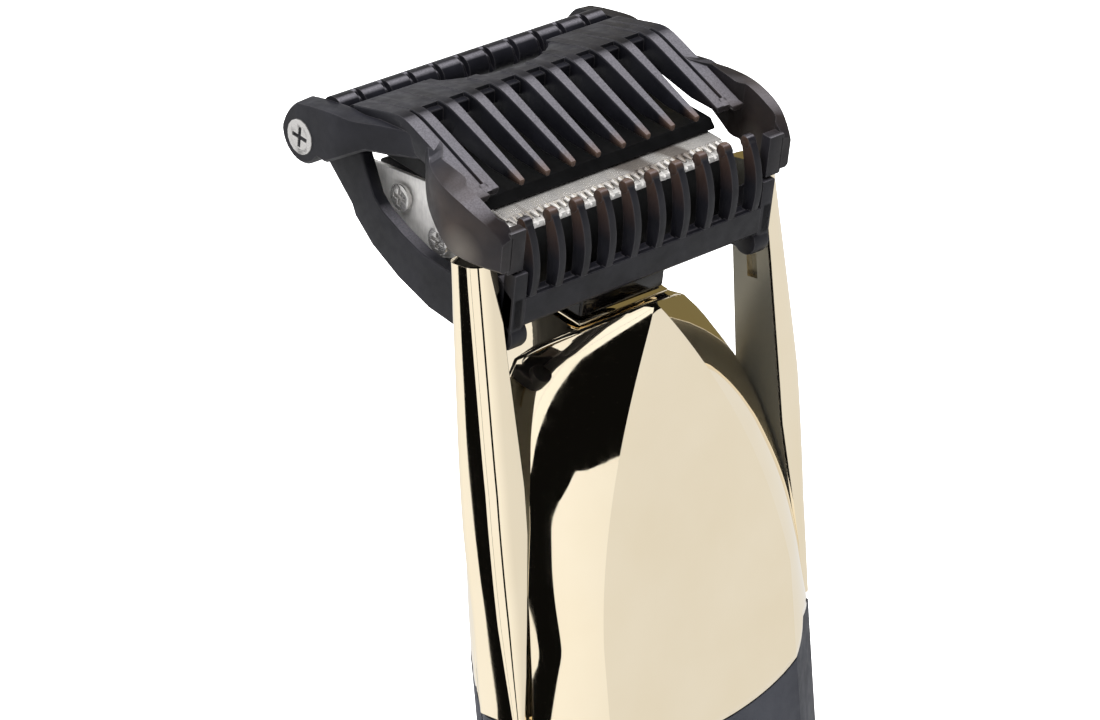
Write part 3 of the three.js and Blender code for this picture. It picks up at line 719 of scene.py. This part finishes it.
# ---------- comb guard, in the tilted head frame ----------
EAR_X = [(-0.6, 27.0), (0.6, 27.4), (3.4, 28.5), (6.3, 29.0), (10.1, 29.0), (13.5, 28.1), (16.3, 26.6),
         (19.1, 24.7), (22.2, 24.9), (26.8, 26.2), (31.4, 27.6), (34.3, 28.0), (45.0, 27.9)]
EAR_TOP = [(-0.6, 4.4), (0.6, 6.0), (2.6, 7.3), (4.5, 8.1), (6.7, 8.8), (10.1, 9.5), (13.5, 9.9),
           (16.3, 10.2), (19.1, 10.7), (22.2, 10.8), (26.8, 10.2), (31.4, 9.3), (34.3, 9.1), (39.6, 8.0),
           (42.5, 7.2)]
EAR_LOW = [(-0.6, 0.0), (8.0, 0.0), (11.8, 2.2), (15.2, 4.0), (18.9, 7.4), (19.2, 7.4), (24.9, 5.9),
           (28.9, 5.2), (35.6, 0.6)]
EAR_IN = [(0, 25.3), (1.6, 25.3), (2.4, 26.2), (8.8, 26.4), (9.8, 25.3), (15, 25.3), (17.5, 22.9),
          (25.5, 22.9), (28.5, 25.0), (46, 25.0)]
EAR_REAR = 44.9
# Round boss of the rear screw; from these depths on, the cheek's underside and then its top follow it
BOSS = {"y": 41.0, "z": 2.3, "r": 4.0, "under": 37.6, "over": 42.5}
BOSS_RIM = (25.05, 27.85)             # x range of the rim round the screw
TEETH, TOOTH_PITCH = 8, 4.7
TOOTH_TOP = [(8.2, 7.2), (14, 9.15), (20, 11.15), (22.8, 12.0), (24.2, 12.17), (26, 11.9), (34, 9.6)]
TOOTH_LOW = [(8.2, 6.4), (14, 6.3), (20, 7.3), (26, 8.9), (34, 7.6)]
TOOTH_HALF = [(8.2, 0.5), (10, 0.62), (16, 0.75), (23, 0.95), (34, 1.0)]
SCOOP = {"y": 43.2, "r": 14.6}
PLATE_REAR = 34.6
PLATE_LIE = 0.13                      # how far the plate lies below the tops of the teeth
RIB_DRAFT, RIB_EDGE = 0.72, 0.14      # a rib's width at its foot, as a share, and the chamfer on its top
STRIPS = ((20.4, 22.3, 8.4), (22.7, 25.0, 7.6))               # the ribs beside a cheek: x from, to, front y
GROOVE = {"x": (22.0, 23.0), "front": 9.2, "deep": 0.55, "floor": 1.6}    # the groove between them
CHEEK_FOOT = ((22.9, 25.8), (-0.1, 1.7), (-0.7, 5.7))         # x, y and z ranges


def boss_rise(y):
    """Half the height of the boss at this depth."""
    return math.sqrt(max(BOSS["r"] ** 2 - (y - BOSS["y"]) ** 2, 0.0))


def ear_ring(y):
    """Section of a cheek, which ends in the round boss of its screw."""
    x0, x1 = linear(y, EAR_IN), smooth(y, EAR_X)
    top, low = smooth(y, EAR_TOP), linear(y, EAR_LOW)
    if y > BOSS["under"]:
        low = BOSS["z"] - boss_rise(y)
    if y > BOSS["over"]:
        rear = BOSS["y"] + BOSS["r"]
        top = min(top, BOSS["z"] + boss_rise(y) + 1.2 * (rear - y) / (rear - BOSS["over"]))
    soft = min(0.4, (x1 - x0) * 0.3)
    lean = 0.5 if y < 16 else 0.2
    return [(x0, y, low), (x1 - soft, y, low), (x1, y, low + soft), (x1, y, top - lean - soft),
            (x1 - soft * 0.4, y, top - lean - soft * 0.3), (x1 - soft * 1.3, y, top - lean), (x0, y, top)]


def ear():
    stations = spread(-0.1, 36, 60) + spread(36.4, EAR_REAR, 20)
    return loft([ear_ring(y) for y in stations], 0)


def scoop_rear(x):
    """Rear edge of the plate, with its round scoop in the middle."""
    if abs(x) >= SCOOP["r"]:
        return PLATE_REAR
    return min(PLATE_REAR, SCOOP["y"] - math.sqrt(SCOOP["r"] ** 2 - x * x))


def plate_ring(x):
    """Section of the plate behind the crest: a low ledge at the teeth's roots, then down to the rear."""
    rear = scoop_rear(x)
    top = smooth(rear, TOOTH_TOP) - PLATE_LIE
    return [(x, 24.0, 9.4), (x, 24.0, 11.3), (x, 24.1, 11.4), (x, 25.1, smooth(25.1, TOOTH_TOP) - 0.75),
            (x, 25.2, smooth(25.2, TOOTH_TOP) - PLATE_LIE), (x, 26.6, smooth(26.6, TOOTH_TOP) - PLATE_LIE),
            (x, rear - 0.5, top + 0.1), (x, rear, top - 0.3), (x, rear, top - 2.0), (x, 26.6, 9.0)]


def rib_ring(y, x, half):
    top, low = smooth(y, TOOTH_TOP), linear(y, TOOTH_LOW)
    foot = half * RIB_DRAFT
    return [(x - half, y, top - RIB_EDGE), (x - half + RIB_EDGE, y, top), (x + half - RIB_EDGE, y, top),
            (x + half, y, top - RIB_EDGE), (x + foot, y, low + 0.2), (x + foot * 0.6, y, low),
            (x - foot * 0.6, y, low), (x - foot, y, low + 0.2)]


def tooth(x):
    stations = spread(TOOTH_TOP[0][0], scoop_rear(x) - 0.5, 30)
    return loft([rib_ring(y, x, linear(y, TOOTH_HALF)) for y in stations], 0.12, 1, 50)


def side_strip(x0, x1, front):
    """One of the two flat ribs beside a cheek."""
    middle, half = (x0 + x1) / 2, (x1 - x0) / 2
    return loft([rib_ring(y, middle, half) for y in spread(front, PLATE_REAR - 0.8, 28)], 0.1, 1, 50)


def strip_front():
    """The two side ribs join ahead of the groove between them."""
    middle = sum(GROOVE["x"]) / 2
    return loft([rib_ring(y, middle, 0.8) for y in spread(STRIPS[0][2], 9.8, 3)])


def strip_floor():
    """The floor of the groove between the two side ribs."""
    x0, x1 = GROOVE["x"]
    rings = []
    for y in spread(GROOVE["front"], PLATE_REAR - 1, 24):
        low, high = smooth(y, TOOTH_TOP) - GROOVE["floor"], smooth(y, TOOTH_TOP) - GROOVE["deep"]
        rings.append([(x0, y, low), (x1, y, low), (x1, y, high), (x0, y, high)])
    return loft(rings)


def boss_ring():
    """The rim round a rear screw, just inside the cheek's outline."""
    return bar("x", (BOSS["y"], BOSS["z"]), BOSS["r"] - 0.05, *BOSS_RIM, 0.35)


def centred(count, pitch):
    """Even places on both sides of the middle."""
    return [(i - (count - 1) / 2) * pitch for i in range(count)]


def comb_top():
    """The cheeks with their bosses and feet, the plate behind the crest, the teeth and the side ribs."""
    parts = both(ear) + both(boss_ring)
    parts.append(loft([plate_ring(x) for x in spread(-24.9, 24.9, 100)], 0))
    parts += [tooth(x) for x in centred(TEETH, TOOTH_PITCH)]
    for strip in STRIPS:
        parts += both(lambda: side_strip(*strip))
    parts += both(strip_floor) + both(strip_front)
    parts += both(lambda: block(*CHEEK_FOOT, 0.3, 2))
    piece("comb_upper_guard", parts, "comb_plastic", "carriage", ["comb_top"], HEAD_FRAME)


REAR_BAR = {"y": 37.8, "z": 6.8, "r": 2.22, "half": 25.0}
NOTCH = {"half": 0.45, "deep": 0.9, "soft": 0.08, "facing": 2.3}      # cut on the side at this angle


def rear_bar_ring(x, depth):
    """Section of the rear bar, pushed in on the side of the crest: fully within 36 degrees, not past 65."""
    points = []
    for i in range(40):
        angle = 2 * math.pi * i / 40
        facing_crest = min(1.0, max(0.0, 2.6 * math.cos(angle - NOTCH["facing"]) - 1.1))
        reach = REAR_BAR["r"] - depth * facing_crest
        points.append((x, REAR_BAR["y"] + reach * math.cos(angle), REAR_BAR["z"] + reach * math.sin(angle)))
    return points


def rear_bar():
    """The round bar behind the plate, with a notch behind each tooth and one at each end."""
    wide, deep = NOTCH["half"], NOTCH["deep"]
    stations = [(-REAR_BAR["half"], 0)]
    for x in centred(TEETH + 2, TOOTH_PITCH):
        stations += [(x - wide - NOTCH["soft"], 0), (x - wide, deep), (x + wide, deep),
                     (x + wide + NOTCH["soft"], 0)]
    stations.append((REAR_BAR["half"], 0))
    body = loft([rear_bar_ring(x, depth) for x, depth in stations])
    piece("notched_rear_bar", [body], "comb_plastic", "carriage", ["comb_rear_bar"], HEAD_FRAME)


FRAME_OUT, FRAME_IN = 24.6, 22.5
JAW = [(-0.5, -4.5), (-0.5, -11.4), (1.2, -13.2), (10, -14.2), (16, -14), (22.5, -12.4), (28.4, -10),
       (32.4, -7.2), (33.2, -5.8), (38.6, -1.6), (40, -0.6), (43.3, 1.4), (43.0, 3.5), (38.5, 4.2),
       (32, 2.9), (28.9, -2.4), (27, -3.8), (22.5, -5.4), (18.5, -6.4), (12, -6.6), (6, -5.4), (3, -2.5)]
FRONT_BAR = [(-0.6, -5.0), (-0.55, -9.0), (-0.1, -9.6), (1.8, -9.6), (1.8, -8.6), (0.6, -6.6), (0.3, -5.0)]
FRONT_LIP = [(0.2, -9.3), (0.8, -10.4), (2.2, -10.6), (2.2, -9.0)]
FRONT_BAR_HALF, FRONT_LIP_HALF = 22.4, 17
JAW_FOOT = ((22.2, FRAME_OUT), (-0.5, 1.8), (-9.6, -1.0))     # x, y and z ranges
JAW_ROLL = {"centre": (1.4, -11.0), "r": 2.3, "x": (21.6, FRAME_OUT)}
LEDGE = ((-22, 22), (0.5, 2.0), (-9.4, -5.3))                 # behind the feet of the fins
FINS, FIN_PITCH, FIN_HALF = 10, 4.67, 0.65
FIN = [(-0.2, -7), (-0.5, -5.3), (-0.82, -3), (-0.75, -0.4), (0.0, 2.4), (1.3, 4.8), (2.4, 5.7), (3.1, 5.4),
       (3.1, 4.5), (2.3, 2.2), (1.7, -0.6), (1.5, -4), (1.3, -7)]
FIN_HEAD = {"centre": (2.35, 4.75), "r": 0.95, "proud": 0.12}


def fin(x):
    """An upright fin with a rounded bead on its tip."""
    wide = FIN_HALF + FIN_HEAD["proud"]
    body = slab("x", curve_through(FIN, 3), x - FIN_HALF, x + FIN_HALF, 0.22, 2, 40)
    head = bar("x", FIN_HEAD["centre"], FIN_HEAD["r"], x - wide, x + wide, 0.3, 20)
    return [body, head]


def comb_lower():
    """Two side walls with square and round feet, the front bar and its fins."""
    parts = both(lambda: slab("x", JAW, FRAME_IN, FRAME_OUT, 0.4, 3))
    parts += both(lambda: block(*JAW_FOOT, 0.3, 2))
    parts += both(lambda: bar("x", JAW_ROLL["centre"], JAW_ROLL["r"], *JAW_ROLL["x"], 0.5))
    parts.append(slab("x", FRONT_BAR, -FRONT_BAR_HALF, FRONT_BAR_HALF, 0.2, 3))
    parts.append(slab("x", FRONT_LIP, -FRONT_LIP_HALF, FRONT_LIP_HALF, 0.3))
    parts.append(block(*LEDGE, 0.2))
    for x in centred(FINS, FIN_PITCH):
        parts += fin(x)
    piece("comb_lower_guard", parts, "comb_plastic", "carriage", ["comb_lower_frame"], HEAD_FRAME)


# ---------- blades ----------
def blade_tooth_ring(x, y, wide, low, top):
    middle = (low + top) / 2
    return [(x - wide, y, low), (x + wide, y, low), (x + wide, y, middle), (x + wide * 0.45, y, top),
            (x - wide * 0.45, y, top), (x - wide, y, middle)]


def toothed_blade(half, pitch, rear, root, tip, low, high):
    """A plate with pointed teeth whose tops slope down to their tips."""
    parts = [block((-half, half), (root, rear), (low, high), 0.06, 1)]
    for x in centred(int(2 * half / pitch), pitch):
        rings = []
        for share in (0.0, 0.45, 0.85, 1.0):
            y = root + 0.1 + (tip - root - 0.1) * share
            wide = pitch * (0.36 - 0.22 * share)
            top = high - (high - low) * 0.55 * share**1.5
            rings.append(blade_tooth_ring(x, y, wide, low, top))
        parts.append(loft(rings))
    return parts


def blades():
    moving = toothed_blade(half=20.3, pitch=1.25, rear=12.5, root=6.7, tip=5.15, low=2.72, high=3.3)
    piece("oscillating_blade", moving, "bright_steel", "blade", ["moving_blade"], HEAD_FRAME)
    fixed = toothed_blade(half=21.2, pitch=1.4, rear=12.6, root=6.2, tip=4.65, low=1.72, high=2.4)
    fixed.append(block((-21.2, 21.2), (5.0, 6.6), (1.2, 2.15), 0.15))
    piece("stationary_blade", fixed, "satin_steel", "handle", ["fixed_blade"], HEAD_FRAME)


# ---------- CAD nodes that stay: bevelled edges and their slot's material ----------
BEVEL_MM = {"polished_gold": 0.25, "comb_plastic": 0.28, "grip_plastic": 0.4, "black_gloss": 0.5,
            "black_plastic": 0.25, "bright_steel": 0.08, "satin_steel": 0.12}
OTHER_BEVEL_MM = 0.15
BEVEL_ANGLE = math.radians(32)
WELD_MM = 0.005
FLAT_ANGLE = math.radians(0.5)


def finish_node(obj, slot_name):
    """Merges the CAD's facets and bevels its edges; the mesh itself stays as it is."""
    obj.data.materials.clear()
    obj.data.materials.append(MATERIALS[slot_name])
    weld = obj.modifiers.new("weld", "WELD")
    weld.merge_threshold = WELD_MM * MM
    flat = obj.modifiers.new("flat", "DECIMATE")
    flat.decimate_type = "DISSOLVE"
    flat.angle_limit = FLAT_ANGLE
    bevel = obj.modifiers.new("bevel", "BEVEL")
    bevel.width = BEVEL_MM.get(slot_name, OTHER_BEVEL_MM) * MM
    bevel.segments = 2
    bevel.limit_method = "ANGLE"
    bevel.angle_limit = BEVEL_ANGLE
    bevel.harden_normals = True
    for polygon in obj.data.polygons:
        polygon.use_smooth = True


for part in frame["record"]["subparts"]:
    finish_node(frame["nodes"][part["node"]], part["material_slot"])

front_cover()
rear_cover()
for side_name, side_sign in SIDES:
    comb_arm(side_name, side_sign)
comb_top()
rear_bar()
comb_lower()
blades()


# ---------- floor, light and camera ----------
SHELL_CENTRE = (0.0, 0.0, 0.12)
# Stops of azimuth and elevation in degrees, azimuth 0 at -Y and 90 at -X
CURTAIN_EDGE = [(-180, 86), (-112, 86), (-100, 8), (0, 8), (16, 11), (33, 17), (38, 11), (42, 7), (43, -45),
                (54, -45), (55, 8), (58, 22), (59, 86), (104, 86), (104.5, -45), (107, -45), (107.5, 86),
                (180, 86)]
WALL_FOOT = [(-110, -14), (-106, -5)]
NADIR, ZENITH = [(0, -89.9)], [(0, 89.9)]
FAR, NEAR = 1.6, 1.5                  # distances of the cards from the trimmer's middle, in metres


def stage_object(name, mesh, material, gloss_only=False):
    mesh.materials.append(material)
    obj = bpy.data.objects.new(name, mesh)
    bpy.context.scene.collection.objects.link(obj)
    if gloss_only:
        obj.visible_camera = False
        obj.visible_diffuse = False
        obj.visible_shadow = False
        obj.visible_transmission = False
    return obj


def floor():
    mesh = bpy.data.meshes.new("floor")
    reach = 6.0
    corners = [(-reach, -reach, 0), (reach, -reach, 0), (reach, reach, 0), (-reach, reach, 0)]
    mesh.from_pydata(corners, [], [(0, 1, 2, 3)])
    stage_object("floor", mesh, floor_material()).visible_glossy = False


def glow(name, left, right=None, tint=(1, 1, 1, 1)):
    """Light of a card; with two levels it runs from the -X side to the +X side."""
    g = Graph(name)
    emission = g.add("ShaderNodeEmission", Color=tint, Strength=left)
    if right is not None:
        g.feed(emission.inputs["Strength"], g.ramp(g.split(g.coords)["X"], left, right, -0.9, 0.9))
    g.tree.links.new(emission.outputs["Emission"], g.tree.nodes["Material Output"].inputs["Surface"])
    g.material.cycles.emission_sampling = "NONE"
    return g.material


def heading(azimuth, elevation, reach):
    """The point in a direction, at a distance from the middle of the trimmer."""
    a, e = math.radians(azimuth), math.radians(elevation)
    direction = Vector((-math.sin(a) * math.cos(e), -math.cos(a) * math.cos(e), math.sin(e)))
    return direction * reach + Vector(SHELL_CENTRE)


def card(name, azimuths, low, high, reach, material):
    """A curved card seen only in gloss, between two lists of stops (azimuth, elevation)."""
    edges = [(a, linear(a, low), linear(a, high)) for a in azimuths]
    bm = sheet_grid([[heading(a, foot + (head - foot) * share, reach) for a, foot, head in edges]
                     for share in spread(0, 1, 8)])
    mesh = bpy.data.meshes.new(name)
    bm.to_mesh(mesh)
    bm.free()
    stage_object(name, mesh, material, gloss_only=True)


def cards():
    """What the mirror gold shows: a bright low part, a dark curtain above it and three narrower cards."""
    every = spread(-180, 180, 360)
    card("low_surround", every, NADIR, CURTAIN_EDGE, FAR, glow("low_glow", 1.06, 0.84))
    card("dark_curtain", every, CURTAIN_EDGE, ZENITH, FAR, glow("dark_glow", 0.004))
    card("side_softbox", spread(54, 64, 10), [(0, 21)], [(0, 70)], NEAR, glow("side_glow", 1.15))
    wall_glow = glow("dim_glow", 0.2, tint=rgb(255, 232, 160))
    card("dim_wall", spread(-140, -90, 50), WALL_FOOT, [(0, 60)], NEAR, wall_glow)
    card("low_stripe", spread(131, 141, 10), [(0, -45)], [(0, -13)], NEAR, glow("stripe_glow", 0.004))


def light(name, place, aim, size, power):
    data = bpy.data.lights.new(name, "AREA")
    data.shape = "RECTANGLE"
    data.size, data.size_y = size
    data.energy = power
    lamp = bpy.data.objects.new(name, data)
    lamp.location = place
    lamp.rotation_mode = "QUATERNION"
    lamp.rotation_quaternion = (Vector(aim) - Vector(place)).to_track_quat("-Z", "Y")
    lamp.visible_glossy = False
    bpy.context.scene.collection.objects.link(lamp)


def world():
    scene_world = bpy.data.worlds.new("studio_air")
    scene_world.use_nodes = True
    background = scene_world.node_tree.nodes["Background"]
    background.inputs["Color"].default_value = (1, 1, 1, 1)
    background.inputs["Strength"].default_value = 0.4
    bpy.context.scene.world = scene_world


def camera():
    data = bpy.data.cameras.new("camera")
    data.sensor_width = SENSOR
    data.lens = FOCAL
    data.clip_end = 50
    right, up = Vector(CAMERA_RIGHT).normalized(), Vector(CAMERA_UP)
    back = right.cross(up).normalized()
    up = back.cross(right)
    turn = Matrix((right, up, back)).transposed().to_4x4()
    obj = bpy.data.objects.new("camera", data)
    obj.matrix_world = Matrix.Translation(Vector(CAMERA_PLACE) * MM) @ turn
    bpy.context.scene.collection.objects.link(obj)
    bpy.context.scene.camera = obj


floor()
cards()
world()
camera()
light("key", place=(-0.5, -0.3, 1.1), aim=(0, 0, 0.12), size=(0.9, 0.7), power=14)
light("top", place=(0.3, 0.4, 1.4), aim=(0, 0, 0.1), size=(1.8, 1.8), power=60)
bpy.context.scene.view_settings.view_transform = "Standard"
